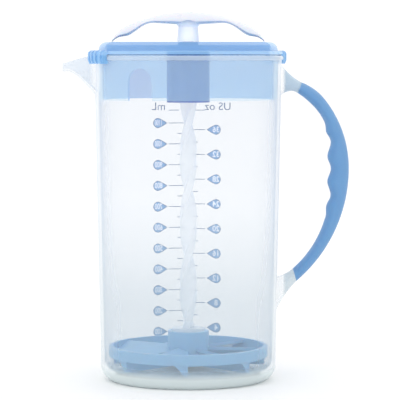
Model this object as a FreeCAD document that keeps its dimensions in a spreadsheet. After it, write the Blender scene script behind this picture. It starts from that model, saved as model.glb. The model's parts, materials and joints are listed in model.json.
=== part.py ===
import FreeCAD, Part
import math
import os

import Sketcher

# Mixing pitcher: a translucent jug with a side handle and a pouring spout, a bayonet lid, and a
# pump-action mixer. Lifting the bow handle draws a twisted bar through a slot in the lid's hub,
# which spins the bladed wheel at the bottom of the jug. Millimetres, +Z up. The origin is the
# centre of the foot on the table, the spout points to -X and the side handle to +X.

doc = FreeCAD.newDocument("mixing_pitcher")
sheet = doc.addObject("Spreadsheet::Sheet", "Sizes")

SIZES = {
    # jug
    "rim_height": 186.9, "base_radius": 50.35, "rim_radius": 53.85, "jug_wall": 2.0,
    "corner_height": 7.0, "corner_round": 10.0, "foot_inset": 5.75, "foot_width": 3.0,
    "floor_height": 5.8, "floor_thickness": 2.2, "floor_round": 6.0,
    "bead_proud": 0.85, "bead_height": 2.4, "bead_round": 0.8,
    "relief_depth": 1.1, "relief_span": 34.0, "relief_angle": 270.0,
    "mark_angle": 261.7, "mark_pitch": 2.2, "mark_span": 0.9, "mark_height": 3.0,
    "mark_proud": 0.2,
    # spout: lengths stand out from the rim, and depths hang down from it
    "spout_length": 18.4, "spout_middle": 7.15, "spout_seat": 2.25, "spout_wall": 1.7,
    "spout_lip": 4.4, "spout_root_half": 10.5, "spout_mid_half": 7.4, "spout_lip_half": 5.2,
    "spout_tip_half": 4.2, "spout_root_depth": 24.4, "spout_mid_depth": 13.0,
    "spout_lip_depth": 6.2, "spout_tip_depth": 4.7, "spout_mid_drop": 1.1,
    "spout_lip_drop": 3.1, "spout_tip_drop": 4.4,
    # side handle: lengths stand out from the rim's radius, and the whole hangs from the rim
    "grip_reach": 38.85, "grip_drop": 64.9, "upper_bend": 64.0, "lower_bend": 85.3,
    "grip_thickness": 11.4, "palm_below": 12.0, "palm_above": 14.0,
    "palm_lower_bend": 61.2, "palm_upper_bend": 31.0,
    "eye_reach": 8.85, "eye_below": 2.0, "grip_start": 68.5, "grip_end": -74.5,
    "pinch_angle": 17.0, "back_pinch": 2.4, "palm_pinch": 1.2,
    "grip_stations": 34, "core_stations": 16, "finger_pitch": 15.0, "finger_depth": 1.0,
    "finger_above": 7.4, "fingers_half": 25.0, "grip_skin": 1.5, "grip_width": 16.0,
    "post_height": 20.1, "post_drop": 3.1, "neck_out": 4.6, "neck_height": 9.7,
    "neck_drop": 10.5, "heel_height": 21.0, "heel_drop": 62.5, "ankle_out": 2.15,
    "ankle_height": 12.1, "ankle_drop": 60.9,
    # lid
    "lid_gap": 0.35, "skirt_wall": 1.8, "skirt_depth": 25.1, "flange_gap": 0.3,
    "flange_thickness": 2.4, "flange_inset": 0.4, "flange_round": 0.9,
    "bar_inset": 2.8, "bar_height": 5.2, "bar_width": 40.0, "bar_round": 4.6,
    "hub_radius": 12.4, "hub_wall": 1.8, "lid_hole": 5.7,
    "notch_angle": 238.0, "notch_width": 16.0, "notch_height": 18.0,
    "claw_angle": 203.0, "claw_span": 22.0, "claw_wall": 2.9, "claw_lip": 1.8,
    "claw_gap": 0.3, "claw_rib": 0.8, "claw_rib_span": 2.4, "claw_rib_pitch": 5.6,
    # mixer
    "twist_pitch": 75.8, "twist_offset": 4.7, "bar_broad": 9.2, "bar_thin": 4.6,
    "bar_edge": 0.6, "slot_gap": 0.2, "guide_length": 9.0, "guide_flange": 1.6,
    "guide_gap": 0.1, "collar_radius": 5.2, "collar_length": 2.0, "journal_radius": 3.3,
    "journal_gap": 0.08, "journal_lip": 0.8, "journal_length": 10.0, "head_length": 2.6,
    "disc_radius": 9.5, "disc_thickness": 1.6, "peg_radius": 4.6, "peg_length": 13.0,
    "peg_gap": 0.1, "wheel_gap": 2.45, "ring_wall": 2.4, "ring_height": 6.1,
    "wheel_hub": 11.95, "hub_height": 14.4, "fin_gap": 1.4, "fin_drop": 6.4,
    "blade_chord": 19.0, "blade_root": 5.4, "blade_web": 1.8, "blade_step": 0.7,
    "blade_dip": 5.0, "root_rise": 1.1, "fin_thickness": 2.2, "blade_count": 7,
    # bow handle
    "bow_gap": 0.3, "bow_height": 16.9, "bow_span": 87.4, "bow_depth": 21.0,
    "bow_bend": 84.0, "bow_room": 9.6, "bow_swell": 1.0, "bow_heel": 2.9, "bow_tip": 1.3,
    "bow_taper": 0.3, "bow_belly": 0.25, "bow_stations": 25, "stem_waist": 5.6, "stem_foot": 6.5,
    "stem_flare": 1.2, "stem_arch": 7.0, "stem_cover": 1.6, "arch_rise": 2.6,
}


class Size:
    """A length: its number now, and the expression that ties it to the sheet."""

    def __init__(self, number, text):
        self.number = float(number)
        self.text = text

    def __add__(self, other):
        other = size(other)
        return Size(self.number + other.number, f"({self.text} + {other.text})")

    def __sub__(self, other):
        other = size(other)
        return Size(self.number - other.number, f"({self.text} - {other.text})")

    def __mul__(self, other):
        other = size(other)
        return Size(self.number * other.number, f"({self.text} * {other.text})")

    def __truediv__(self, other):
        other = size(other)
        return Size(self.number / other.number, f"({self.text} / {other.text})")

    def __neg__(self):
        return Size(-self.number, f"(0 - {self.text})")

    __radd__ = __add__
    __rmul__ = __mul__

    def __rsub__(self, other):
        return size(other) - self


def size(value):
    if isinstance(value, Size):
        return value
    return Size(value, f"{float(value):.6f}")


def root(value):
    return Size(math.sqrt(value.number), f"sqrt({value.text})")


def across(radius, height):
    """How far a circle's edge is from its centre line at a height above its centre."""
    return root(radius * radius - height * height)


def sine(angle):
    return Size(math.sin(math.radians(angle.number)), f"sin({angle.text})")


def cosine(angle):
    return Size(math.cos(math.radians(angle.number)), f"cos({angle.text})")


for row, (alias, number) in enumerate(SIZES.items(), start=1):
    sheet.set(f"A{row}", alias)
    sheet.set(f"B{row}", str(number))
    sheet.setAlias(f"B{row}", alias)
doc.recompute()


class Sheet:
    """Reads the sheet: d.jug_wall is the wall as a Size."""

    def __getattr__(self, alias):
        return Size(SIZES[alias], f"Sizes.{alias}")


d = Sheet()


def bind(thing, prop, value):
    """Set a feature's size and keep it tied to the sheet."""
    value = size(value)
    thing.setExpression(prop, value.text)


def body(name):
    made = doc.addObject("PartDesign::Body", name)
    made.Label = name
    return made


def plane(owner, role):
    return next(item for item in owner.Origin.OriginFeatures if item.Role == role)


def draw(owner, role, corners, lift=0, turn=None, tilt=0):
    """A closed sketch on one of the body's own planes.

    corners are (x, y) or (x, y, radius): with a radius, the side that starts there is an arc,
    which curves to the left of the way round when the radius is positive. lift moves the sketch
    off its plane, turn swings it about Z, and tilt carries it out along that swung direction.
    """
    sketch = owner.newObject("Sketcher::SketchObject", f"{owner.Name}_outline")
    sketch.AttachmentSupport = [(plane(owner, role), "")]
    sketch.MapMode = "FlatFace"
    if turn is not None:
        sketch.AttachmentOffset = FreeCAD.Placement(
            FreeCAD.Vector(), FreeCAD.Rotation(FreeCAD.Vector(0, 1, 0), size(turn).number))
        bind(sketch, "AttachmentOffset.Rotation.Angle", turn)
        bind(sketch, "AttachmentOffset.Base.x", size(tilt) * sine(size(turn)))
        bind(sketch, "AttachmentOffset.Base.z", size(tilt) * cosine(size(turn)))
    else:
        bind(sketch, "AttachmentOffset.Base.z", lift)
    spots = [(size(corner[0]), size(corner[1])) for corner in corners]
    bends = [size(corner[2]) if len(corner) > 2 else None for corner in corners]
    ends = []
    for index, bend in enumerate(bends):
        start, stop = (FreeCAD.Vector(x.number, y.number, 0)
                       for x, y in (spots[index], spots[(index + 1) % len(spots)]))
        if bend is None:
            sketch.addGeometry(Part.LineSegment(start, stop), False)
            ends.append((1, 2))
            continue
        radius = abs(bend.number)
        side = 1 if bend.number > 0 else -1
        middle = (start + stop) * 0.5
        half = (stop - start).Length / 2
        left = FreeCAD.Vector(-(stop - start).y, (stop - start).x, 0).normalize()
        centre = middle + left * side * math.sqrt(max(radius ** 2 - half ** 2, 0))
        first, last = (start, stop) if side > 0 else (stop, start)
        angles = [math.atan2(spot.y - centre.y, spot.x - centre.x) for spot in (first, last)]
        circle = Part.Circle(centre, FreeCAD.Vector(0, 0, 1), radius)
        sketch.addGeometry(Part.ArcOfCircle(circle, *angles), False)
        ends.append((1, 2) if side > 0 else (2, 1))
    for index, bend in enumerate(bends):
        after = (index + 1) % len(spots)
        sketch.addConstraint(Sketcher.Constraint(
            "Coincident", index, ends[index][1], after, ends[after][0]))
        for kind, axis, value in zip(("DistanceX", "DistanceY"), (-2, -1), spots[index]):
            if value.number == 0:
                sketch.addConstraint(Sketcher.Constraint(
                    "PointOnObject", index, ends[index][0], axis))
                continue
            sketch.addConstraint(Sketcher.Constraint(
                kind, -1, 1, index, ends[index][0], value.number))
            bind(sketch, f"Constraints[{sketch.ConstraintCount - 1}]", value)
        if bend is not None:
            sketch.addConstraint(Sketcher.Constraint("Radius", index, abs(bend.number)))
            bend = bend if bend.number > 0 else -bend
            bind(sketch, f"Constraints[{sketch.ConstraintCount - 1}]", bend)
    return sketch


def feature(owner, kind, sketch, **settings):
    made = owner.newObject(f"PartDesign::{kind}", f"{owner.Name}_{kind}")
    made.Profile = sketch
    sketch.Visibility = False
    for prop, value in settings.items():
        if isinstance(value, Size):
            bind(made, prop, value)
        else:
            setattr(made, prop, value)
    return made


def turned(owner, corners, kind="Revolution", angle=360, turn=None):
    """A profile in (radius, height), swung about Z; turn is where its middle lies."""
    sketch = draw(owner, "XZ_Plane", corners, turn=turn)
    return feature(owner, kind, sketch, Angle=size(angle), Midplane=True,
                   ReferenceAxis=(plane(owner, "Z_Axis"), [""]))


def padded(owner, role, corners, length, kind="Pad", **settings):
    placing = {key: settings.pop(key) for key in ("lift", "turn", "tilt") if key in settings}
    return feature(owner, kind, draw(owner, role, corners, **placing), Length=size(length),
                   **settings)


def lofted(owner, sections, kind):
    """A loft through outlines that stand across X, each given as (x, corners)."""
    sketches = [draw(owner, "YZ_Plane", corners, lift=x) for x, corners in sections]
    made = feature(owner, kind, sketches[0])
    made.Sections = sketches[1:]
    return made


def rounded(owner, picks, radius):
    """Fillet the edges of the body's last solid for which picks(edge) is true."""
    doc.recompute()
    base = owner.Tip
    names = [f"Edge{number}" for number, edge in enumerate(base.Shape.Edges, start=1)
             if picks(edge)]
    made = owner.newObject("PartDesign::Fillet", f"{owner.Name}_Fillet")
    made.Base = (base, names)
    bind(made, "Radius", radius)
    return made


def near(value, target, within=0.02):
    return abs(value - target.number) < within


def wall_radius(height):
    """The jug's outer radius at a height: it widens steadily from the foot to the rim."""
    return d.base_radius + height * (d.rim_radius - d.base_radius) / d.rim_height


# Sizes that follow from the ones above, so that what fits together stays together.
bead_radius = d.rim_radius + d.bead_proud
bead_low = d.rim_height - d.bead_height
flange_low = d.rim_height + d.flange_gap
flange_high = flange_low + d.flange_thickness
flange_radius = bead_radius - d.flange_inset
lid_top = flange_high + d.bar_height
skirt_low = d.rim_height - d.skirt_depth
guide_low = skirt_low - d.guide_flange
guide_high = skirt_low + d.guide_length
fin_low = d.floor_height + d.fin_gap
wheel_low = fin_low + d.fin_drop
wheel_high = wheel_low + d.ring_height
hub_high = wheel_low + d.hub_height
wheel_radius = d.base_radius - d.jug_wall - d.wheel_gap
bow_foot = lid_top + d.bow_gap
bow_half = d.bow_span / 2
bow_under = bow_foot + d.bow_room
journal_head = d.journal_radius + d.journal_lip
grip_out = d.rim_radius + d.grip_reach
grip_middle = d.rim_height - d.grip_drop
palm_out = grip_out - d.grip_thickness
eye_x = d.rim_radius - d.eye_reach
eye_z = grip_middle - d.eye_below


# ---------------------------------------------------------------------------------------------
# Jug: one moulding, with the wall, the foot, the rim bead, the spout and the handle's core.
# ---------------------------------------------------------------------------------------------
def jug():
    made = body("jug")
    rim = d.rim_height
    inner_floor = wall_radius(d.floor_height) - d.jug_wall
    corner = wall_radius(d.corner_height)
    foot = corner - d.foot_inset
    recess = foot - d.foot_width

    # wall, foot, floor and rim bead
    turned(made, [
        (0, d.floor_height - d.floor_thickness), (recess, d.floor_height - d.floor_thickness),
        (recess, 0), (foot, 0, d.corner_round), (corner, d.corner_height),
        (wall_radius(bead_low), bead_low), (bead_radius, bead_low + d.bead_round * 0.5),
        (bead_radius, rim - d.bead_round, d.bead_round), (bead_radius - d.bead_round, rim),
        (wall_radius(rim) - d.jug_wall, rim),
        (inner_floor, d.floor_height + d.floor_round, -d.floor_round),
        (inner_floor - d.floor_round, d.floor_height), (0, d.floor_height)])

    # the bead's underside is cut back where the lid's claws come off, and ribs mark the place
    cut_high, clear_of_bead = bead_low + d.relief_depth, bead_radius + d.jug_wall / 2
    for turn in (d.relief_angle, d.relief_angle - 180):
        turned(made, [(wall_radius(bead_low), bead_low), (clear_of_bead, bead_low),
                      (clear_of_bead, cut_high), (wall_radius(cut_high), cut_high)],
               kind="Groove", angle=d.relief_span, turn=turn)
    low, high = cut_high - d.mark_height, cut_high + d.jug_wall * 0.1
    root_in = d.jug_wall / 4
    for step in (-1.5, -0.5, 0.5, 1.5):
        turned(made, [(wall_radius(low) - root_in, low), (wall_radius(low) + d.mark_proud, low),
                      (wall_radius(high) + d.mark_proud, high), (wall_radius(high) - root_in, high)],
               angle=d.mark_span, turn=d.mark_angle + d.mark_pitch * step)

    # spout: a U section that narrows and rises to the lip
    def cup(half, low, high, wall=0, over=0):
        half = half - wall
        low = low + wall
        return [(-half, high + over), (-half, low + half, half), (0, low, half),
                (half, low + half), (half, high + over)]

    middle_high, lip_high = rim - d.spout_mid_drop, rim - d.spout_lip_drop
    tip_high = rim - d.spout_tip_drop
    stations = [
        (d.rim_radius - d.spout_seat, d.spout_root_half, rim - d.spout_root_depth, rim),
        (d.rim_radius + d.spout_middle, d.spout_mid_half, middle_high - d.spout_mid_depth,
         middle_high),
        (d.rim_radius + d.spout_length - d.spout_lip, d.spout_lip_half,
         lip_high - d.spout_lip_depth, lip_high),
        (d.rim_radius + d.spout_length, d.spout_tip_half, tip_high - d.spout_tip_depth,
         tip_high)]
    lofted(made, [(-x, cup(half, low, high)) for x, half, low, high in stations],
           "AdditiveLoft")

    # the spout's channel, cut through the wall and open at the top
    first, *others = stations
    reach_in = (first[0] - d.jug_wall * 4,) + first[1:]
    lofted(made, [(-x, cup(half, low, high, d.spout_wall, d.jug_wall))
                  for x, half, low, high in (reach_in, *others)], "SubtractiveLoft")
    return made


def pitcher():
    """The jug with its side handle's posts and core, as they come out of the mould."""
    made = doc.addObject("Part::MultiFuse", "pitcher_body")
    upper, lower = post_sections()
    made.Shapes = [jug(), loft_feature("handle_core", core_sections()),
                   loft_feature("upper_post", upper), loft_feature("lower_post", lower)]
    made.Label = "pitcher_body"
    return made


# ---------------------------------------------------------------------------------------------
# Side handle: oval sections on rays from a point inside the D, lofted into a core and into the
# soft sleeve round it, which has hollows for the fingers. A post joins each end to the wall.
# ---------------------------------------------------------------------------------------------
def d_curve(angle, reach, low, high, lower_bend, upper_bend):
    """Distance from the handle's eye to a D-shaped line, along a ray at an angle in degrees.

    The line is upright between two heights, and bends back in an arc above and below them.
    """
    run, rise = math.cos(math.radians(angle)), math.sin(math.radians(angle))
    straight = (reach - eye_x.number) / run
    height = eye_z.number + straight * rise
    if low <= height <= high:
        return straight
    centre_z, bend = (high, upper_bend) if height > high else (low, lower_bend)
    out_x, out_z = eye_x.number - (reach - bend), eye_z.number - centre_z
    along = out_x * run + out_z * rise
    return -along + math.sqrt(along ** 2 - out_x ** 2 - out_z ** 2 + bend ** 2)


def pinch(angle):
    """How much of its narrowing towards the upper post the grip has at a ray: 1 at its end."""
    return max(0, 1 - (d.grip_start.number - angle) / d.pinch_angle.number) ** 2


def outer_reach(angle):
    middle = grip_middle.number
    return d_curve(angle, grip_out.number, middle, middle, d.lower_bend.number,
                   d.upper_bend.number) - d.back_pinch.number * pinch(angle)


def palm_reach(angle):
    return d_curve(angle, palm_out.number, (grip_middle - d.palm_below).number,
                   (grip_middle + d.palm_above).number, d.palm_lower_bend.number,
                   d.palm_upper_bend.number) + d.palm_pinch.number * pinch(angle)


def finger_wave(angle):
    """How far the palm side stands in (negative, a ridge) or out (a hollow) at a ray."""
    height = on_ray(angle, palm_reach(angle)).z - grip_middle.number
    pitch = d.finger_pitch.number
    inside = (d.fingers_half.number - abs(height)) / (pitch / 3)
    strength = max(0, min(1, 0.5 + inside))
    turn = 2 * math.pi * (height - d.finger_above.number) / pitch
    return -d.finger_depth.number * math.cos(turn) * strength


def oval(inner, outer, half_width):
    """A rounded oval wire between two points of the front view, half_width deep each way."""
    centre = (inner + outer) * 0.5
    arm = (outer - inner) * 0.5
    along = FreeCAD.Vector(arm).normalize()
    frame = FreeCAD.Matrix(arm.x, 0, along.z, centre.x,
                           arm.y, half_width, 0, centre.y,
                           arm.z, 0, -along.x, centre.z)
    ring = Part.Circle(FreeCAD.Vector(), FreeCAD.Vector(0, 0, 1), 1).toShape()
    return Part.Wire([ring.transformGeometry(frame).Edges[0]])


def on_ray(angle, distance):
    turn = math.radians(angle)
    return FreeCAD.Vector(eye_x.number + distance * math.cos(turn), 0,
                          eye_z.number + distance * math.sin(turn))


def handle_rays(count):
    start, end = d.grip_start.number, d.grip_end.number
    return [start + (end - start) * step / (count - 1) for step in range(count)]


def core_sections():
    """Ovals of the core, a skin's thickness inside the sleeve all round."""
    skin = d.grip_skin.number
    return [oval(on_ray(angle, palm_reach(angle) + skin), on_ray(angle, outer_reach(angle) - skin),
                 d.grip_width.number / 2 - skin)
            for angle in handle_rays(int(d.core_stations.number))]


def post_sections():
    """Ovals of the two posts, from the wall to the sleeve's ends, where they lie flush with it."""
    half = d.grip_width.number / 2
    post_top, heel_top = d.rim_height - d.post_drop, grip_middle - d.heel_drop
    neck_top, ankle_top = d.rim_height - d.neck_drop, grip_middle - d.ankle_drop
    posts = []
    for angle, root_top, root_height, out, top, height in (
            (d.grip_start, post_top, d.post_height, d.neck_out, neck_top, d.neck_height),
            (d.grip_end, heel_top, d.heel_height, d.ankle_out, ankle_top, d.ankle_height)):
        seat = wall_radius(root_top - root_height / 2) - d.jug_wall / 2
        ovals = []
        for x, high, tall in ((seat, root_top, root_height), (d.rim_radius + out, top, height)):
            ends = [FreeCAD.Vector(x.number, 0, z.number) for z in (high - tall, high)]
            ovals.append(oval(*(ends if angle.number > 0 else ends[::-1]), half))
        angle = angle.number
        ovals.append(oval(on_ray(angle, palm_reach(angle)), on_ray(angle, outer_reach(angle)), half))
        posts.append(ovals)
    return posts


def grip_sections():
    """Ovals of the soft sleeve: its palm side has a ridge between each two fingers."""
    half = d.grip_width.number / 2
    return [oval(on_ray(angle, palm_reach(angle) + finger_wave(angle)),
                 on_ray(angle, outer_reach(angle)), half)
            for angle in handle_rays(int(d.grip_stations.number))]


def loft_feature(name, sections):
    made = doc.addObject("Part::Feature", name)
    made.Shape = Part.makeLoft(sections, True, False)
    return made


def grip():
    made = doc.addObject("Part::Cut", "handle_grip")
    made.Base = loft_feature("grip_sleeve", grip_sections())
    made.Tool = loft_feature("grip_hollow", core_sections())
    made.Label = "handle_grip"
    return made


# ---------------------------------------------------------------------------------------------
# Lid: skirt, flange, raised bar, hub tube, pouring notch, and two ribbed bayonet claws.
# ---------------------------------------------------------------------------------------------
def lid():
    made = body("lid")
    low, high = skirt_low, flange_high
    clear = d.jug_wall + d.lid_gap
    outer_low = wall_radius(low) - clear
    outer_high = wall_radius(d.rim_height) - clear
    edge = flange_radius
    turned(made, [
        (0, flange_low), (outer_high - d.skirt_wall, flange_low),
        (outer_low - d.skirt_wall, low), (outer_low, low), (outer_high, flange_low),
        (edge - d.flange_round, flange_low), (edge, flange_low + d.flange_round),
        (edge, high - d.flange_round, d.flange_round), (edge - d.flange_round, high),
        (0, high)])

    # raised bar, hollow underneath, with ends that follow the round lid
    def bar(radius, width):
        half = width / 2
        end = across(radius, half)
        return [(-end, -half), (end, -half, radius), (end, half), (-end, half, radius)]

    bar_radius = edge - d.bar_inset
    padded(made, "XY_Plane", bar(bar_radius, d.bar_width), d.bar_height, lift=high)
    top = lid_top
    rounded(made, lambda line: near(line.BoundBox.ZMin, top) and near(line.BoundBox.ZMax, top)
            and line.BoundBox.YLength > d.bar_width.number / 2, d.bar_round)
    hollow_top = top - d.skirt_wall
    padded(made, "XY_Plane", bar(bar_radius - d.bar_round, d.bar_width - d.skirt_wall * 2),
           hollow_top - flange_low, kind="Pocket", lift=hollow_top)
    circle_pad(made, d.hub_radius, low, hollow_top)
    circle_pad(made, d.hub_radius - d.hub_wall, low, hollow_top, kind="Pocket")
    circle_pad(made, d.lid_hole, low, top, kind="Pocket")

    # pouring notch: an arch in the skirt, open at the bottom
    half = d.notch_width / 2
    spring = low + d.notch_height - half
    padded(made, "YZ_Plane", [
        (-half, low - d.skirt_wall), (half, low - d.skirt_wall), (half, spring, half),
        (0, spring + half, half), (-half, spring)], outer_high, kind="Pocket", Reversed=True,
        turn=d.notch_angle, tilt=outer_low - d.skirt_wall * 4)

    # bayonet claws: a C section that hooks under the rim bead, with ribs for the thumb
    lip_high = d.rim_height - d.bead_height - d.claw_gap
    lip_low = lip_high - d.claw_lip
    inside = bead_radius + d.claw_gap
    lip_in = wall_radius(lip_high) + d.claw_gap
    for turn in (d.claw_angle, d.claw_angle - 180):
        claw(made, turn, d.claw_span, 0, lip_in, lip_low, lip_high, inside, high)
        for step in (-1.5, -0.5, 0.5, 1.5):
            claw(made, turn + d.claw_rib_pitch * step, d.claw_rib_span, d.claw_rib,
                 inside, lip_low, lip_high, inside, high)
    return made


def claw(made, turn, span, proud, lip_in, lip_low, lip_high, inside, high):
    out = inside + d.claw_wall + proud
    slope = d.claw_lip * 1.2
    turned(made, [
        (lip_in, lip_low), (out - slope * 0.4, lip_low), (out, lip_low + slope),
        (out, high - slope, slope), (out - slope, high + proud * 0.5),
        (flange_radius - slope, high + proud * 0.5), (flange_radius - slope, flange_low),
        (inside, flange_low), (inside, lip_high), (lip_in, lip_high)]
        if proud == 0 else [
        (inside + d.claw_gap, lip_low), (out - slope * 0.4, lip_low), (out, lip_low + slope),
        (out, high - slope, slope), (out - slope, high + proud * 0.5),
        (inside + d.claw_gap, high + proud * 0.5)],
        angle=span, turn=turn)


def circle_pad(made, radius, low, high, kind="Pad"):
    """A round pad or pocket about Z between two heights, drawn as four quarter arcs."""
    corners = [(radius, 0, radius), (0, radius, radius), (-radius, 0, radius),
               (0, -radius, radius)]
    lift = low if kind == "Pad" else high
    return padded(made, "XY_Plane", corners, high - low, kind=kind, lift=lift)


# ---------------------------------------------------------------------------------------------
# Twisted bar and the slot that it runs through.
# ---------------------------------------------------------------------------------------------
def twisted(name, broad, thin, edge, low, high):
    """A rounded flat bar that turns right-handed once in every twist_pitch of its height."""
    pitch = d.twist_pitch.number
    half_x, half_y = broad / 2, thin / 2
    spots = [(half_x, half_y - edge), (half_x - edge, half_y), (-half_x + edge, half_y),
             (-half_x, half_y - edge), (-half_x, -half_y + edge), (-half_x + edge, -half_y),
             (half_x - edge, -half_y), (half_x, -half_y + edge)]
    points = [FreeCAD.Vector(x, y, 0) for x, y in spots]
    sides = [Part.LineSegment(a, b).toShape()
             for a, b in zip(points, points[1:] + points[:1])]
    profile = Part.Wire(sides)
    profile.rotate(FreeCAD.Vector(), FreeCAD.Vector(0, 0, 1),
                   360 * (low - (skirt_low + d.twist_offset).number) / pitch)
    profile.translate(FreeCAD.Vector(0, 0, low))
    spine = Part.Wire([Part.LineSegment(FreeCAD.Vector(0, 0, low),
                                        FreeCAD.Vector(0, 0, high)).toShape()])
    guide = Part.makeHelix(pitch, high - low, broad)
    guide.translate(FreeCAD.Vector(0, 0, low))
    shell = Part.BRepOffsetAPI.MakePipeShell(spine)
    shell.setAuxiliarySpine(Part.Wire(guide.Edges), True, 0)
    shell.add(profile)
    shell.build()
    shell.makeSolid()
    made = doc.addObject("Part::Feature", name)
    made.Shape = shell.shape()
    return made


def cylinder(name, radius, low, high):
    made = doc.addObject("Part::Cylinder", name)
    bind(made, "Radius", radius)
    bind(made, "Height", size(high) - size(low))
    bind(made, "Placement.Base.z", low)
    return made


def guide():
    """Slotted insert in the lid's hub: the twisted bar turns as it slides through."""
    sleeve = cylinder("guide_sleeve", d.hub_radius - d.hub_wall - d.guide_gap,
                      guide_low, guide_high)
    flange = cylinder("guide_rim", d.hub_radius, guide_low, skirt_low - d.guide_gap)
    block = doc.addObject("Part::MultiFuse", "guide_block")
    block.Shapes = [sleeve, flange]
    gap = d.slot_gap.number * 2
    slot = twisted("guide_slot", d.bar_broad.number + gap, d.bar_thin.number + gap,
                   d.bar_edge.number, guide_low.number - 1, guide_high.number + 1)
    made = doc.addObject("Part::Cut", "shaft_guide")
    made.Base = block
    made.Tool = slot
    made.Label = "shaft_guide"
    return made


def shaft():
    """Twisted bar with a swivel journal at the top, and a disc and a peg at the bottom."""
    bar_high = lid_top - d.collar_length
    disc_high = hub_high + d.disc_thickness
    tip = bow_foot + d.journal_length
    bar = twisted("shaft_bar", d.bar_broad.number, d.bar_thin.number, d.bar_edge.number,
                  disc_high.number - 0.5, bar_high.number + 0.5)
    parts = [bar, cylinder("shaft_collar", d.collar_radius, bar_high, lid_top),
             cylinder("shaft_journal", d.journal_radius, lid_top - d.collar_length / 2, tip),
             cylinder("shaft_disc", d.disc_radius, hub_high, disc_high),
             cylinder("shaft_peg", d.peg_radius, hub_high - d.peg_length,
                      hub_high + d.disc_thickness / 2)]
    head = doc.addObject("Part::Cone", "shaft_head")
    bind(head, "Radius1", journal_head)
    bind(head, "Radius2", d.journal_radius * 0.7)
    bind(head, "Height", d.head_length)
    bind(head, "Placement.Base.z", tip - d.head_length)
    made = doc.addObject("Part::MultiFuse", "mixing_shaft")
    made.Shapes = parts + [head]
    made.Label = "mixing_shaft"
    return made


# ---------------------------------------------------------------------------------------------
# Mixing wheel: a ring and a hub joined by scoop blades, each ending in a fin below the ring.
# ---------------------------------------------------------------------------------------------
def wheel():
    made = body("mixing_wheel")
    top = wheel_high - d.blade_step

    def blade(chord, low, level):
        """Section across the blade: a web on the left that slopes and curves down into a fin.

        The curve leaves the web level, or where level is False meets the fin's tip upright.
        """
        web = top - d.blade_web
        fin = d.fin_thickness
        drop = web - low
        sweep = chord - fin
        bend = (sweep * sweep + drop * drop) / ((drop if level else sweep) * 2)
        dip = d.blade_dip * chord / d.blade_chord
        return [(-chord, web, -bend), (-fin, low), (0, low), (0, top - dip), (-chord, top)]

    hub_in = d.wheel_hub - d.ring_wall
    rim_in = wheel_radius - d.ring_wall / 2
    root_low = fin_low + d.root_rise
    small = draw(made, "XZ_Plane", blade(d.blade_root, root_low, False), lift=hub_in)
    large = draw(made, "XZ_Plane", blade(d.blade_chord, fin_low, True), lift=rim_in)
    arm = feature(made, "AdditiveLoft", small)
    arm.Sections = [large]
    doc.recompute()
    spread = made.newObject("PartDesign::PolarPattern", "blades")
    spread.Originals = [arm]
    spread.Axis = (plane(made, "Z_Axis"), [""])
    spread.Angle = 360
    bind(spread, "Occurrences", d.blade_count)
    made.Tip = spread
    doc.recompute()
    low, high, out = wheel_low, wheel_high, wheel_radius
    inner, edge = out - d.ring_wall, d.ring_wall / 3
    turned(made, [(inner, low), (out, low), (out, high - edge, edge), (out - edge, high),
                  (inner, high)])
    turned(made, [(0, root_low), (d.wheel_hub, root_low), (d.wheel_hub, hub_high), (0, hub_high)])
    hole = d.peg_radius + d.peg_gap
    deep = hub_high - d.peg_length - d.peg_gap
    turned(made, [(0, deep), (hole, deep), (hole, hub_high), (0, hub_high)], kind="Groove")
    return made


# ---------------------------------------------------------------------------------------------
# Bow handle: an arched grip with a stem, which turns freely on the shaft's journal.
# ---------------------------------------------------------------------------------------------
def bow_high(x):
    """The bow's upper line: one long arc, with a tighter arc down to each tip."""
    low, half, bend = bow_foot.number, bow_half.number, d.bow_bend.number
    top, shoulder = low + d.bow_height.number, half * 0.82
    long_drop = bend - math.sqrt(bend ** 2 - x ** 2)
    if x <= shoulder:
        return top - long_drop
    full = top - (bend - math.sqrt(bend ** 2 - half ** 2)) - (low + d.bow_tip.number)
    return top - long_drop - full * ((x - shoulder) / (half - shoulder)) ** 2


def bow_low(x):
    """The bow's lower line: it dips at the stem, rises over the fingers and falls to each tip."""
    half, under, low = bow_half.number, bow_under.number, bow_foot.number
    crest, foot = half * 0.48, half * 0.86
    if x <= crest:
        return under + d.bow_swell.number * (1 - math.cos(math.pi * x / crest)) / 2
    high = under + d.bow_swell.number
    if x <= foot:
        part = (x - crest) / (foot - crest)
        return high + (low + d.bow_heel.number - high) * (1 - math.cos(math.pi * part)) / 2
    return low + d.bow_heel.number * (1 - ((x - foot) / (half - foot)) ** 2)


def bow_sections():
    """Sections across the bow, from tip to tip, closer together towards the tips."""
    count = int(d.bow_stations.number)
    sections = []
    for step in range(count):
        share = math.sin(math.pi * (step / (count - 1) - 0.5))
        x = bow_half.number * share
        deep = d.bow_depth.number / 2 * (1 - d.bow_taper.number * share ** 4)
        sections.append(crest(x, bow_low(abs(x)), bow_high(abs(x)), deep))
    return sections


def crest(x, low, high, half_width):
    """An upright section with a high round back and a shallow round belly."""
    widest = low + (high - low) * d.bow_belly.number
    halves = []
    for start, reach in ((0, high - widest), (math.pi, widest - low)):
        half = Part.ArcOfCircle(Part.Circle(), start, start + math.pi).toShape()
        halves.append(half.transformGeometry(
            FreeCAD.Matrix(0, 0, 1, x, half_width, 0, 0, 0, 0, reach, 0, widest)).Edges[0])
    return Part.Wire(halves)


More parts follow.
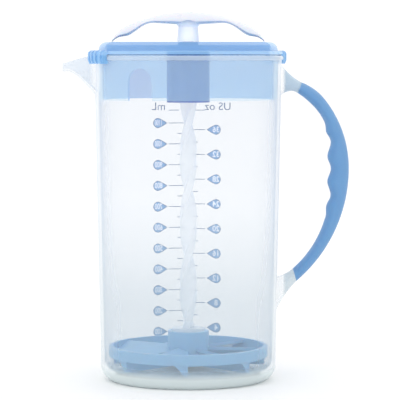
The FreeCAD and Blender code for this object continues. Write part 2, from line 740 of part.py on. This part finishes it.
def bow():
    """The grip bar with an arched relief in front of and behind its stem, bored for the journal."""
    low, wide = bow_foot, d.stem_arch
    relief = body("bow_relief")
    spring = bow_under + d.arch_rise - wide
    padded(relief, "XZ_Plane", [
        (wide, low), (wide, spring, wide), (0, spring + wide, wide), (-wide, spring),
        (-wide, low)], d.bow_depth * 2, Midplane=True)
    bar = doc.addObject("Part::Cut", "bow_bar")
    bar.Base = loft_feature("bow_grip", bow_sections())
    bar.Tool = relief

    stem = body("bow_stem")
    crown = spring + wide + d.stem_cover
    turned(stem, [(0, low), (d.stem_foot, low), (d.stem_waist, bow_under - d.stem_flare),
                  (wide, bow_under + d.stem_flare / 2), (wide, crown), (0, crown)])
    bore = d.journal_radius + d.journal_gap
    room = journal_head + d.journal_gap
    end = low + d.journal_length + d.journal_gap
    step = end - d.head_length - d.journal_gap * 2
    turned(stem, [(0, low), (bore, low), (bore, step), (room, step), (room, end), (0, end)],
           kind="Groove")
    made = doc.addObject("Part::MultiFuse", "pump_handle")
    made.Shapes = [bar, stem]
    made.Label = "pump_handle"
    return made


parts = [pitcher(), grip(), lid(), guide(), shaft(), wheel(), bow()]
doc.recompute()

failed = [item.Name for item in doc.Objects if "Invalid" in item.State or "Error" in item.State]
if failed:
    raise RuntimeError(f"these objects failed: {failed}")
os.makedirs("parts", exist_ok=True)
for part in parts:
    if part.Shape.isNull() or not part.Shape.isValid():
        raise RuntimeError(f"{part.Label} is not a valid shape")
    part.Shape.exportStep(f"parts/{part.Label}.step")
    print(part.Label, len(part.Shape.Solids), round(part.Shape.Volume, 1))
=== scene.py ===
import json
import math

import bmesh
import bpy
from mathutils import Matrix, Vector

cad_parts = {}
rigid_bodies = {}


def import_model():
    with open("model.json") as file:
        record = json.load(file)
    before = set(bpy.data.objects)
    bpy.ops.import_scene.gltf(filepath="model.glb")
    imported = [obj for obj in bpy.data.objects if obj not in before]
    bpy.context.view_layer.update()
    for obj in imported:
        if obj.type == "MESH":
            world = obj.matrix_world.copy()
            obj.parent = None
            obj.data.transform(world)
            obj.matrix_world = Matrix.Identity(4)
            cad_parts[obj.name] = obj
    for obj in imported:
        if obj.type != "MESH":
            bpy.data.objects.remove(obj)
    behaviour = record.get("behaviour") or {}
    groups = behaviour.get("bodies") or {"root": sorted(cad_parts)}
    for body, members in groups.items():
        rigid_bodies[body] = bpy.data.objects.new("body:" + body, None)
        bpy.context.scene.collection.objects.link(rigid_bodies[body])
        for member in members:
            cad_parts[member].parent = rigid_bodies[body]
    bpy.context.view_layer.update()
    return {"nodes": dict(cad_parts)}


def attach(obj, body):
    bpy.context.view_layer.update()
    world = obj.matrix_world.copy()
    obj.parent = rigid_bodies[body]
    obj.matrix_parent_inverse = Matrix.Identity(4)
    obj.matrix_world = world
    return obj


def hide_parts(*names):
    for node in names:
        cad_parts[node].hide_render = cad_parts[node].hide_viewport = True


# Baby formula mixing pitcher: a frosted jug with a printed scale, a blue lid, and a pump handle
# whose twisted bar spins the bladed wheel at the bottom. Metres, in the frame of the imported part.
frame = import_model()
nodes = frame["nodes"]

# --- Jug ---------------------------------------------------------------------------------------
# Injection-moulded polypropylene, frosted and slightly milky, so what is inside shows paler. The
# surface has the faint waviness of a moulded wall, and its colour leans a little to blue.
# the wall's colour turns darker towards the foot: painted shade
JUG_TINT, JUG_FOOT_PAINTED_SHADE = (0.72, 0.79, 0.87), (0.53, 0.63, 0.70)
# the upper posts are tinted darker than the lower ones: painted shade against the stronger light
# they catch
JUG_DENSE_TINT, JUG_HIGH_POST_PAINTED_SHADE = (0.56, 0.65, 0.70), (0.40, 0.54, 0.67)
JUG_FLOOR_TINT = (0.72, 0.80, 0.81)
# how much each stretch hides of what is behind it
JUG_HAZE, JUG_LOW_HAZE, JUG_BEAD = 0.190, 0.34, 0.52
JUG_EDGE, JUG_LOW_EDGE, JUG_SPOUT, JUG_THICK, JUG_FLOOR = 1.00, 0.35, 0.45, 0.85, 0.88
JUG_ROUGHNESS, JUG_IOR, JUG_EDGE_POWER = 0.30, 1.12, 4.0
# where each look starts and where it is full, up the jug and out from its middle
FOOT_FADE, FLOOR_FADE = (0.105, 0.045), (0.012, 0.006)
BEAD_FADE, HIGH_FADE = (0.1838, 0.1846), (0.10, 0.14)
POST_FADE, SPOUT_FADE = (0.0535, 0.0560), (-0.0530, -0.0570)
JUG_LEAST, JUG_MOST = 0.040, 0.0548
# the facets' cuts and seam, which walls are cut, and the sharpest edge that is still smooth
FACETS, SEAM, WELD = 3, math.radians(45), 1e-6
LEAST_TURN, MOST_TURN, SMOOTH_ANGLE = 0.02, 0.2, math.radians(32)
# the unevenness of moulded plastic
GRAIN_SCALE, GRAIN_HEIGHT = 1400, 0.0001
DRIFT_TINT, GLOSS_LEAST, GLOSS_MOST = (0.35, 0.42, 0.55), 0.85, 1.15


def plastic_group():
    """The unevenness of moulded plastic: a slow drift in colour, gloss and height."""
    group = bpy.data.node_groups.new("moulded_plastic", "ShaderNodeTree")
    for name, kind, value in (("Colour", "NodeSocketColor", (1, 1, 1, 1)),
                              ("Drift", "NodeSocketFloat", 0.05),
                              ("Gloss", "NodeSocketFloat", 0.3),
                              ("Size", "NodeSocketFloat", 60.0)):
        group.interface.new_socket(name, in_out="INPUT", socket_type=kind).default_value = value
    for name, kind in (("Colour", "NodeSocketColor"), ("Roughness", "NodeSocketFloat"),
                       ("Height", "NodeSocketFloat")):
        group.interface.new_socket(name, in_out="OUTPUT", socket_type=kind)
    add, link = group.nodes.new, group.links.new
    given, made = add("NodeGroupInput"), add("NodeGroupOutput")
    place = add("ShaderNodeTexCoord")
    slow, fine = add("ShaderNodeTexNoise"), add("ShaderNodeTexNoise")
    link(place.outputs["Object"], slow.inputs["Vector"])
    link(place.outputs["Object"], fine.inputs["Vector"])
    link(given.outputs["Size"], slow.inputs["Scale"])
    fine.inputs["Scale"].default_value = GRAIN_SCALE
    shade, dark, gloss = add("ShaderNodeMix"), add("ShaderNodeMath"), add("ShaderNodeMapRange")
    shade.data_type, shade.blend_type = "RGBA", "MULTIPLY"
    dark.operation = "MULTIPLY"
    link(slow.outputs["Fac"], dark.inputs[0])
    link(given.outputs["Drift"], dark.inputs[1])
    link(dark.outputs[0], shade.inputs["Factor"])
    link(given.outputs["Colour"], shade.inputs["A"])
    shade.inputs["B"].default_value = (*DRIFT_TINT, 1)
    link(shade.outputs["Result"], made.inputs["Colour"])
    link(slow.outputs["Fac"], gloss.inputs["Value"])
    for end, share in (("To Min", GLOSS_LEAST), ("To Max", GLOSS_MOST)):
        scaled = add("ShaderNodeMath")
        scaled.operation = "MULTIPLY"
        scaled.inputs[1].default_value = share
        link(given.outputs["Gloss"], scaled.inputs[0])
        link(scaled.outputs[0], gloss.inputs[end])
    link(gloss.outputs["Result"], made.inputs["Roughness"])
    link(fine.outputs["Fac"], made.inputs["Height"])
    return group


MOULDED = plastic_group()


def plastic(name, colour, roughness, drift=0.05, size=60, bump=0.0, ior=1.5, under=0.0,
            under_reach=0.003):
    """A plastic with its own colour and gloss; under is the light that it spreads inside."""
    made = bpy.data.materials.new(name)
    made.use_nodes = True
    add, link = made.node_tree.nodes.new, made.node_tree.links.new
    shader = made.node_tree.nodes["Principled BSDF"]
    uneven = add("ShaderNodeGroup")
    uneven.node_tree = MOULDED
    uneven.inputs["Colour"].default_value = (*colour, 1)
    uneven.inputs["Drift"].default_value = drift
    uneven.inputs["Gloss"].default_value = roughness
    uneven.inputs["Size"].default_value = size
    link(uneven.outputs["Colour"], shader.inputs["Base Color"])
    link(uneven.outputs["Roughness"], shader.inputs["Roughness"])
    if bump:
        raised = add("ShaderNodeBump")
        raised.inputs["Strength"].default_value = bump
        raised.inputs["Distance"].default_value = GRAIN_HEIGHT
        link(uneven.outputs["Height"], raised.inputs["Height"])
        link(raised.outputs["Normal"], shader.inputs["Normal"])
    shader.inputs["IOR"].default_value = ior
    if under:
        shader.inputs["Subsurface Weight"].default_value = under
        shader.inputs["Subsurface Scale"].default_value = under_reach
    return made


def dress(node, material):
    """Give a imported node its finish."""
    mesh = nodes[node].data
    mesh.materials.clear()
    mesh.materials.append(material)
    return nodes[node]


def rounder(node, name, body, least, most, material, reach=1.0):
    """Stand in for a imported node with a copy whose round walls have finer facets.

    The walls between two radii are cut as if unrolled, so the new corners lie on the round, and
    what stands out past reach is trimmed flush with it.
    """
    bm = bmesh.new()
    bm.from_mesh(nodes[node].data)
    bmesh.ops.remove_doubles(bm, verts=bm.verts, dist=WELD)
    for spot in bm.verts:
        x, y, z = spot.co
        spot.co = ((math.atan2(y, x) - SEAM) % (2 * math.pi), math.hypot(x, y), z)
    wall_edges = [edge for edge in bm.edges
                  if LEAST_TURN < abs(edge.verts[0].co.x - edge.verts[1].co.x) < MOST_TURN
                  and all(least < spot.co.y < most for spot in edge.verts)]
    bmesh.ops.subdivide_edges(bm, edges=wall_edges, cuts=FACETS)
    for spot in bm.verts:
        turn, radius, z = spot.co
        radius = min(radius, reach)
        spot.co = (radius * math.cos(turn + SEAM), radius * math.sin(turn + SEAM), z)
    for face in bm.faces:
        face.smooth = True
    mesh = bpy.data.meshes.new(name)
    bm.to_mesh(mesh)
    bm.free()
    if "custom_normal" in mesh.attributes:
        mesh.attributes.remove(mesh.attributes["custom_normal"])
    mesh.set_sharp_from_angle(angle=SMOOTH_ANGLE)
    mesh.materials.clear()
    mesh.materials.append(material)
    piece = bpy.data.objects.new(name, mesh)
    bpy.context.scene.collection.objects.link(piece)
    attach(piece, body)
    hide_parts(node)
    return piece


class Nodes:
    """Small steps between shader nodes, for one material."""

    def __init__(self, material):
        self.tree = material.node_tree
        self.shader = self.tree.nodes["Principled BSDF"]
        place = self.tree.nodes.new("ShaderNodeTexCoord").outputs["Object"]
        split = self.tree.nodes.new("ShaderNodeSeparateXYZ")
        self.tree.links.new(place, split.inputs[0])
        self.x, self.y, self.z = split.outputs[:]

    def math(self, operation, *values):
        step = self.tree.nodes.new("ShaderNodeMath")
        step.operation = operation
        for value, socket in zip(values, step.inputs):
            if isinstance(value, float):
                socket.default_value = value
            else:
                self.tree.links.new(value, socket)
        return step.outputs[0]

    def ramp(self, value, start, end, low=0.0, high=1.0):
        """From low at start to high at end, and level beyond them."""
        step = self.tree.nodes.new("ShaderNodeMapRange")
        self.tree.links.new(value, step.inputs["Value"])
        for socket, number in zip(("From Min", "From Max", "To Min"), (start, end, low)):
            step.inputs[socket].default_value = number
        if isinstance(high, float):
            step.inputs["To Max"].default_value = high
        else:
            self.tree.links.new(high, step.inputs["To Max"])
        return step.outputs["Result"]

    def blend(self, name, colour, *steps):
        """Feed the moulded plastic a colour that turns to each step's where its mask is 1."""
        group = next(node for node in self.tree.nodes if node.type == "GROUP")
        for mask, other in steps:
            mix = self.tree.nodes.new("ShaderNodeMix")
            mix.data_type = "RGBA"
            mix.inputs["B"].default_value = (*other, 1)
            if isinstance(colour, tuple):
                mix.inputs["A"].default_value = (*colour, 1)
            else:
                self.tree.links.new(colour, mix.inputs["A"])
            self.tree.links.new(mask, mix.inputs["Factor"])
            colour = mix.outputs["Result"]
        self.tree.links.new(colour, group.inputs[name])

    def from_axis(self):
        """How far a spot is from the upright axis."""
        return self.math("SQRT", self.math("ADD", self.math("MULTIPLY", self.x, self.x),
                                           self.math("MULTIPLY", self.y, self.y)))

    def outside(self):
        """1 where the eye meets a surface from outside the plastic, 0 from within it."""
        back = self.tree.nodes.new("ShaderNodeNewGeometry").outputs["Backfacing"]
        return self.math("SUBTRACT", 1.0, back)

    def side_on(self, power):
        """0 where a surface faces the eye, 1 where it is seen side on."""
        facing = self.tree.nodes.new("ShaderNodeLayerWeight")
        facing.inputs["Blend"].default_value = 0.5
        return self.math("POWER", facing.outputs["Facing"], power)


frosted = plastic("frosted_wall", JUG_TINT, JUG_ROUGHNESS, drift=0.03, ior=JUG_IOR)
wall = Nodes(frosted)
# the wall is hazier towards the foot and painted darker there, a painted shade; the upper posts are
# painted darker than the lower ones, a painted shade; the rim bead, the posts and the floor are
# thicker
foot, floor = wall.ramp(wall.z, *FOOT_FADE), wall.ramp(wall.z, *FLOOR_FADE)
post = wall.ramp(wall.x, *POST_FADE)
high_post_painted_shade = wall.math("MULTIPLY", post, wall.ramp(wall.z, *HIGH_FADE))
wall.blend("Colour", JUG_TINT, (foot, JUG_FOOT_PAINTED_SHADE), (floor, JUG_FLOOR_TINT),
           (post, JUG_DENSE_TINT), (high_post_painted_shade, JUG_HIGH_POST_PAINTED_SHADE))
haze = wall.ramp(foot, 0.0, 1.0, JUG_HAZE, JUG_LOW_HAZE)
haze = wall.math("MAXIMUM", haze, wall.ramp(wall.z, *BEAD_FADE, 0.0, JUG_BEAD))
haze = wall.math("ADD", haze, wall.math("MULTIPLY", wall.side_on(JUG_EDGE_POWER),
                                         wall.ramp(foot, 0.0, 1.0, JUG_EDGE, JUG_LOW_EDGE)))
thick = wall.math("MAXIMUM", wall.math("MULTIPLY", post, JUG_THICK),
                  wall.ramp(wall.x, *SPOUT_FADE, 0.0, JUG_SPOUT))
thick = wall.math("MAXIMUM", thick, wall.math("MULTIPLY", floor, JUG_FLOOR))
haze = wall.math("MULTIPLY", wall.math("MAXIMUM", haze, thick), wall.outside())
wall.tree.links.new(haze, wall.shader.inputs["Alpha"])
jug = rounder("pitcher_body", "jug", "pitcher", JUG_LEAST, JUG_MOST, frosted)

# --- Printed scale -----------------------------------------------------------------------------
# Screen-printed on the outside of the back wall, so it reads the right way round from behind and
# mirrored from the front. Drops in two columns hold the numbers, and ticks point to the middle.
INK, INK_PALE, INK_WHITE = (0.04, 0.12, 0.30), (0.22, 0.50, 0.86), (0.95, 0.96, 0.98)
INK_LIFT, INK_ROUGHNESS, NUMBER_PAINTED_GLOW = 0.00006, 0.6, 0.3
ML_STEP, ML_FIRST, ML_COUNT, ML_EACH = 0.01256, 0.0212, 11, 100
OZ_STEP, OZ_FIRST, OZ_COUNT, OZ_EACH = 0.0149, 0.0236, 9, 4
ML_DROP, OZ_DROP, DROP_SHIFT = -0.0172, 0.0152, 0.001
DROP_HALF, DROP_LENGTH, DROP_LINE, DROP_TAPER = 0.0030, 0.0084, 0.00032, 0.55
ML_TICK, OZ_TICK = (-0.0120, -0.0026), (0.0023, 0.0098)
SHORT_TICK, SHORT_END, TICK_WIDTH = 0.0032, -0.0036, 0.00040
NUMBER_HEIGHT, ML_SQUEEZE, OZ_SQUEEZE, DIGIT_BOLD = 0.0033, 0.65, 0.92, 0.00010
ML_NUMBER_SHIFT, OZ_NUMBER_SHIFT, SQUEEZED_DIGITS = 0.0008, 0.0012, 3
UNIT_HEIGHT, UNIT_LINE, ML_UNIT, OZ_UNIT = 0.0046, 0.1566, -0.0180, 0.0175
TOP_TICK, CAPITAL_SHARE = 0.1545, 0.7
STRIPS, STRIP_WIDTH, BEHIND = 24, 0.001, 0.2


def ink(name, colour, glow=0.0):
    made = bpy.data.materials.new(name)
    made.use_nodes = True
    shader = made.node_tree.nodes["Principled BSDF"]
    shader.inputs["Base Color"].default_value = (*colour, 1)
    shader.inputs["Roughness"].default_value = INK_ROUGHNESS
    shader.inputs["Emission Color"].default_value = (*colour, 1)
    shader.inputs["Emission Strength"].default_value = glow
    return made


def print_on_wall(mesh, lift):
    """Lay a flat drawing, in X and Z, on the outside of the jug's back wall."""
    for spot in mesh.vertices:
        hit, place, normal, _ = jug.ray_cast((spot.co.x, BEHIND, spot.co.z), (0, -1, 0))
        spot.co = place + normal * lift


def printed(name, bm, materials, lift=INK_LIFT):
    """A drawing as a piece of ink, in strips narrow enough to follow the round wall."""
    for strip in range(-STRIPS, STRIPS + 1):
        bmesh.ops.bisect_plane(bm, geom=[*bm.verts, *bm.edges, *bm.faces],
                               plane_co=(strip * STRIP_WIDTH, 0, 0), plane_no=(1, 0, 0))
    mesh = bpy.data.meshes.new(name)
    bmesh.ops.recalc_face_normals(bm, faces=bm.faces)
    bm.to_mesh(mesh)
    bm.free()
    for material in materials:
        mesh.materials.append(material)
    print_on_wall(mesh, lift)
    piece = bpy.data.objects.new(name, mesh)
    bpy.context.scene.collection.objects.link(piece)
    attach(piece, "pitcher")
    return piece


UPRIGHT = Matrix.Rotation(math.pi / 2, 4, "X")


def add_drop(bm, x, z, side):
    """A teardrop lying on its side, its point towards the middle, with a darker outline."""
    ring = bmesh.ops.create_circle(bm, cap_ends=True, segments=36, radius=DROP_HALF)["verts"]
    for spot in ring:
        share = spot.co.x / DROP_HALF
        if share > 0:
            spot.co.y *= max(1 - share, 0) ** DROP_TAPER
            spot.co.x *= (DROP_LENGTH - DROP_HALF) / DROP_HALF
    face = next(iter(ring[0].link_faces))
    face.normal_update()
    rim = bmesh.ops.inset_region(bm, faces=[face], thickness=DROP_LINE, use_boundary=True,
                                 use_even_offset=True)
    core = bmesh.ops.inset_region(bm, faces=[face], thickness=DROP_LINE, use_boundary=True)
    face.material_index = 1
    for side_face in core["faces"]:
        side_face.material_index = 1
    spots = {v for f in [face, *rim["faces"], *core["faces"]] for v in f.verts}
    turn = Matrix.Rotation(0 if side < 0 else math.pi, 4, "Y")
    bmesh.ops.transform(bm, matrix=Matrix.Translation((x, 0, z)) @ turn @ UPRIGHT,
                        verts=list(spots))


def add_tick(bm, low, high, z):
    middle = Matrix.Translation(((low + high) / 2, 0, z))
    size = Matrix.Diagonal((high - low, TICK_WIDTH, 1, 1))
    bmesh.ops.create_grid(bm, x_segments=6, y_segments=1, size=0.5,
                          matrix=middle @ UPRIGHT @ size)


def add_words(bm, words, x, z, height, squeeze=1.0, bold=0.0):
    """Words that read the right way round from behind the jug."""
    text = bpy.data.curves.new("words", "FONT")
    text.body, text.size, text.offset = words, height / CAPITAL_SHARE, bold
    text.align_x, text.align_y = "CENTER", "CENTER"
    text.resolution_u = 3
    holder = bpy.data.objects.new("words", text)
    mesh = bpy.data.meshes.new_from_object(holder)
    mesh.transform(Matrix.Translation((x, 0, z)) @ Matrix.Diagonal((-squeeze, 1, 1, 1)) @ UPRIGHT)
    bm.from_mesh(mesh)
    for spare, home in ((holder, bpy.data.objects), (text, bpy.data.curves),
                        (mesh, bpy.data.meshes)):
        home.remove(spare)


drops, ticks, numbers = bmesh.new(), bmesh.new(), bmesh.new()
for count in range(ML_COUNT):
    z = ML_FIRST + ML_STEP * count
    add_drop(drops, ML_DROP - DROP_SHIFT, z, -1)
    add_tick(ticks, *ML_TICK, z)
    millilitres = str(ML_EACH * (count + 1))
    add_words(numbers, millilitres, ML_DROP - ML_NUMBER_SHIFT, z, NUMBER_HEIGHT,
              ML_SQUEEZE * SQUEEZED_DIGITS / len(millilitres), DIGIT_BOLD)
    if count:
        add_tick(ticks, SHORT_END - SHORT_TICK, SHORT_END, z - ML_STEP / 2)
for count in range(OZ_COUNT):
    z = OZ_FIRST + OZ_STEP * count
    add_drop(drops, OZ_DROP + DROP_SHIFT, z, 1)
    add_tick(ticks, *OZ_TICK, z)
    add_words(numbers, str(OZ_EACH * (count + 1)), OZ_DROP + OZ_NUMBER_SHIFT, z, NUMBER_HEIGHT,
              OZ_SQUEEZE, DIGIT_BOLD)
    if count:
        add_tick(ticks, OZ_TICK[0], OZ_TICK[0] + SHORT_TICK, z - OZ_STEP / 2)
add_tick(ticks, ML_TICK[0], ML_TICK[1] - SHORT_TICK, TOP_TICK)
add_tick(ticks, OZ_TICK[0] + SHORT_TICK / 2, OZ_TICK[1], TOP_TICK)
units = bmesh.new()
add_words(units, "mL", ML_UNIT, UNIT_LINE, UNIT_HEIGHT)
add_words(units, "US oz", OZ_UNIT, UNIT_LINE, UNIT_HEIGHT)
ink_line, ink_fill = ink("ink", INK), ink("ink_pale", INK_PALE)
# the inner copy of the numbers glows faintly: painted light that keeps the white digits bright
# through the wall
ink_white, glowing_number_ink = ink("ink_white", INK_WHITE), ink("ink_white_painted_glow", INK_WHITE, NUMBER_PAINTED_GLOW)
printed("scale_drops", drops, [ink_line, ink_fill])
printed("scale_ticks", ticks, [ink_line])
printed("scale_numbers", numbers.copy(), [ink_white], lift=INK_LIFT * 2)
printed("scale_numbers_painted_glow", numbers, [glowing_number_ink], lift=INK_LIFT / 2)
printed("scale_units", units, [ink_line])

# --- Side handle's sleeve ----------------------------------------------------------------------
# Soft thermoplastic rubber moulded over the core of the jug's side handle, with hollows for the
# fingers. Its skin is matte and slightly grainy.
GRIP_BLUE, GRIP_ROUGHNESS = (0.140, 0.325, 0.600), 0.55
dress("handle_grip", plastic("soft_grip", GRIP_BLUE, GRIP_ROUGHNESS, drift=0.12, size=90,
                             bump=0.35, under=0.1))

# --- Lid and shaft guide -----------------------------------------------------------------------
# Polypropylene dyed a light blue, thin enough for its hub to show through the skirt. The thicker
# hub and raised bar let less through.
# the skirt's inner faces are painted darker and denser: painted shade of the lid's inside
LID_SKIN, LID_INSIDE_PAINTED_SHADE, LID_HUB_DYE_AND_SHADE = (0.53, 0.86, 1.0), (0.19, 0.51, 0.93), (0.005, 0.08, 0.44)
LID_BAR, LID_RIM, LID_CLAW = (0.28, 0.52, 0.84), (0.35, 0.65, 0.98), (0.22, 0.49, 0.84)
LID_GAP_PAINTED_SHADOW, GAP_PAINTED_SHADOW_HAZE = (0.08, 0.15, 0.27), 0.72
SKIN_HAZE, INSIDE_HAZE, HUB_HAZE = 0.270, 0.62, 0.94
BAR_HAZE, RIM_HAZE, CLAW_HAZE = 0.80, 0.60, 0.85
LID_EDGE, LID_EDGE_POWER, LID_WITHIN, LID_ROUGHNESS = 0.30, 3.0, 0.25, 0.22
INSIDE_FADE, RIM_FADE, CLAW_FADE = (0.0506, 0.0502), (0.0532, 0.0536), (0.0546, 0.0549)
HUB_FADE, BAR_FADE = (0.0135, 0.0128), (0.1890, 0.1894)
UNDER_TOP_FADE, UNDER_FOOT_FADE = (0.1878, 0.1875), (0.1868, 0.1870)
LID_LEAST, LID_MOST = 0.040, 0.0600
lid_blue = plastic("lid_plastic", LID_SKIN, LID_ROUGHNESS, drift=0.05)
lid_dye_and_shade = Nodes(lid_blue)
span = lid_dye_and_shade.from_axis()
inside, rim = lid_dye_and_shade.ramp(span, *INSIDE_FADE), lid_dye_and_shade.ramp(span, *RIM_FADE)
# the hub's deep blue is partly its denser dye and partly painted shade inside the lid
hub, bar = lid_dye_and_shade.ramp(span, *HUB_FADE), lid_dye_and_shade.ramp(lid_dye_and_shade.z, *BAR_FADE)
claw = lid_dye_and_shade.ramp(span, *CLAW_FADE)
# painted shadow on the flange's bevelled underside, where hardly any light reaches in the gap above
# the rim
under = lid_dye_and_shade.math("MULTIPLY", rim, lid_dye_and_shade.ramp(lid_dye_and_shade.z, *UNDER_TOP_FADE))
under = lid_dye_and_shade.math("MULTIPLY", under, lid_dye_and_shade.ramp(lid_dye_and_shade.z, *UNDER_FOOT_FADE))
under = lid_dye_and_shade.math("MULTIPLY", under, lid_dye_and_shade.ramp(claw, 1.0, 0.0))
lid_dye_and_shade.blend("Colour", LID_SKIN, (inside, LID_INSIDE_PAINTED_SHADE), (rim, LID_RIM), (under, LID_GAP_PAINTED_SHADOW),
          (claw, LID_CLAW), (hub, LID_HUB_DYE_AND_SHADE), (bar, LID_BAR))
haze = lid_dye_and_shade.ramp(inside, 0.0, 1.0, SKIN_HAZE, INSIDE_HAZE)
for mask, level in ((rim, RIM_HAZE), (claw, CLAW_HAZE), (hub, HUB_HAZE), (bar, BAR_HAZE),
                    (under, GAP_PAINTED_SHADOW_HAZE)):
    haze = lid_dye_and_shade.math("MAXIMUM", haze, lid_dye_and_shade.math("MULTIPLY", mask, level))
haze = lid_dye_and_shade.math("ADD", haze, lid_dye_and_shade.math("MULTIPLY", lid_dye_and_shade.side_on(LID_EDGE_POWER), LID_EDGE))
haze = lid_dye_and_shade.math("MULTIPLY", haze, lid_dye_and_shade.ramp(lid_dye_and_shade.outside(), 0.0, 1.0, LID_WITHIN, 1.0))
lid_dye_and_shade.tree.links.new(haze, lid_dye_and_shade.shader.inputs["Alpha"])
rounder("lid", "lid_shell", "lid", LID_LEAST, LID_MOST, lid_blue)
dress("shaft_guide", lid_blue)

# --- Mixer -------------------------------------------------------------------------------------
# White twisted bar, thin enough for light to come through, with a denser disc at its foot. It is
# fixed in the hub of a blue wheel, whose blades end flush with its ring.
ROD_WHITE, ROD_ROUGHNESS = (0.80, 0.86, 0.93), 0.35
ROD_HAZE, ROD_EDGE, ROD_EDGE_POWER = 0.45, 0.50, 2.0
DISC_HAZE, DISC_FADE = 0.85, (0.0345, 0.0335)
white_bar = plastic("white_bar", ROD_WHITE, ROD_ROUGHNESS, drift=0.03)
bar_look = Nodes(white_bar)
dense = bar_look.math("MULTIPLY", bar_look.side_on(ROD_EDGE_POWER), ROD_EDGE)
dense = bar_look.math("ADD", dense, ROD_HAZE)
dense = bar_look.math("MAXIMUM", dense, bar_look.ramp(bar_look.z, *DISC_FADE, 0.0, DISC_HAZE))
bar_look.tree.links.new(bar_look.math("MULTIPLY", dense, bar_look.outside()),
                        bar_look.shader.inputs["Alpha"])
dress("mixing_shaft", white_bar)
WHEEL_BLUE, WHEEL_ROUGHNESS = (0.245, 0.51, 0.78), 0.3
WHEEL_RADIUS, WHEEL_LEAST, WHEEL_SLACK = 0.0459, 0.040, 0.0005
wheel_plastic = plastic("wheel_plastic", WHEEL_BLUE, WHEEL_ROUGHNESS, drift=0.06, under=0.25,
                        under_reach=0.004)
rounder("mixing_wheel", "wheel", "mixer", WHEEL_LEAST, WHEEL_RADIUS + WHEEL_SLACK,
        wheel_plastic, reach=WHEEL_RADIUS)

# --- Pump handle -------------------------------------------------------------------------------
# A glossy white bow with an arched relief round its stem, moulded in one piece. The stem is painted
# lighter than the bow and glows faintly, painted light, and the twisted bar hangs from it.
BOW_WHITE, BOW_ROUGHNESS = (0.77, 0.79, 0.86), 0.28
# the stem's lighter white and faint glow are painted light against the shade between the bow and
# the lid
STEM_PAINTED_LIGHT, STEM_PAINTED_GLOW = (0.95, 0.96, 0.98), (0.17, 0.17, 0.18)
STEM_FADE, STEM_TOP_FADE = (0.0085, 0.0070), (0.2075, 0.2040)
white_bow = plastic("white_bow", BOW_WHITE, BOW_ROUGHNESS, drift=0.03, under=0.1)
glow = Nodes(white_bow)
stem = glow.math("MULTIPLY", glow.ramp(glow.from_axis(), *STEM_FADE),
                 glow.ramp(glow.z, *STEM_TOP_FADE))
glow.blend("Colour", BOW_WHITE, (stem, STEM_PAINTED_LIGHT))
stem_glow_mix = glow.tree.nodes.new("ShaderNodeMix")
stem_glow_mix.data_type = "RGBA"
stem_glow_mix.inputs["A"].default_value = (0, 0, 0, 1)
stem_glow_mix.inputs["B"].default_value = (*STEM_PAINTED_GLOW, 1)
glow.tree.links.new(stem, stem_glow_mix.inputs["Factor"])
glow.tree.links.new(stem_glow_mix.outputs["Result"], glow.shader.inputs["Emission Color"])
glow.shader.inputs["Emission Strength"].default_value = 1.0
dress("pump_handle", white_bow)

# --- Table, light and camera -------------------------------------------------------------------
# A pale table that runs out of sight in a bright even room, with a soft lamp in front and one
# behind. The long lens stands at the lid's height and looks slightly down.
TABLE_REACH, TABLE_WHITE = 40.0, (0.945, 0.945, 0.945)
ROOM_LIGHT, LIGHT_BOUNCES = 1.12, 24
LAMP_AIM = (0, 0, 0.1)
EYE = Vector((0.0068, -1.243, 0.1846))
LOOK_AT = Vector((0.0068, 0.0, 0.1038))
LENS = 194.0

table_mesh = bpy.data.meshes.new("table")
bm = bmesh.new()
bmesh.ops.create_grid(bm, x_segments=1, y_segments=1, size=TABLE_REACH)
bm.to_mesh(table_mesh)
bm.free()
table = bpy.data.objects.new("table", table_mesh)
table_mesh.materials.append(ink("table_white", TABLE_WHITE))
bpy.context.scene.collection.objects.link(table)

world = bpy.data.worlds.new("room")
bpy.context.scene.world = world
world.use_nodes = True
world.node_tree.nodes["Background"].inputs["Color"].default_value = (1, 1, 1, 1)
world.node_tree.nodes["Background"].inputs["Strength"].default_value = ROOM_LIGHT


def lamp(name, spot, target, size, power):
    light = bpy.data.lights.new(name, "AREA")
    light.shape, light.size, light.energy = "DISK", size, power
    holder = bpy.data.objects.new(name, light)
    holder.location = spot
    holder.rotation_euler = (Vector(target) - Vector(spot)).to_track_quat("-Z", "Y").to_euler()
    bpy.context.scene.collection.objects.link(holder)


lamp("key", (-0.7, -1.0, 1.1), LAMP_AIM, size=0.9, power=1.4)
lamp("back", (0.5, 1.2, 0.9), LAMP_AIM, size=1.0, power=0.5)

lens = bpy.data.cameras.new("camera")
lens.lens, lens.sensor_width, lens.sensor_fit = LENS, 36, "HORIZONTAL"
lens.clip_start = 0.05
camera = bpy.data.objects.new("camera", lens)
camera.location = EYE
camera.rotation_euler = (LOOK_AT - EYE).to_track_quat("-Z", "Y").to_euler()
bpy.context.scene.collection.objects.link(camera)
bpy.context.scene.camera = camera
bpy.context.scene.view_settings.view_transform = "Standard"
bpy.context.scene.cycles.transparent_max_bounces = LIGHT_BOUNCES
bpy.context.scene.cycles.transmission_bounces = LIGHT_BOUNCES
bpy.context.scene.cycles.max_bounces = LIGHT_BOUNCES
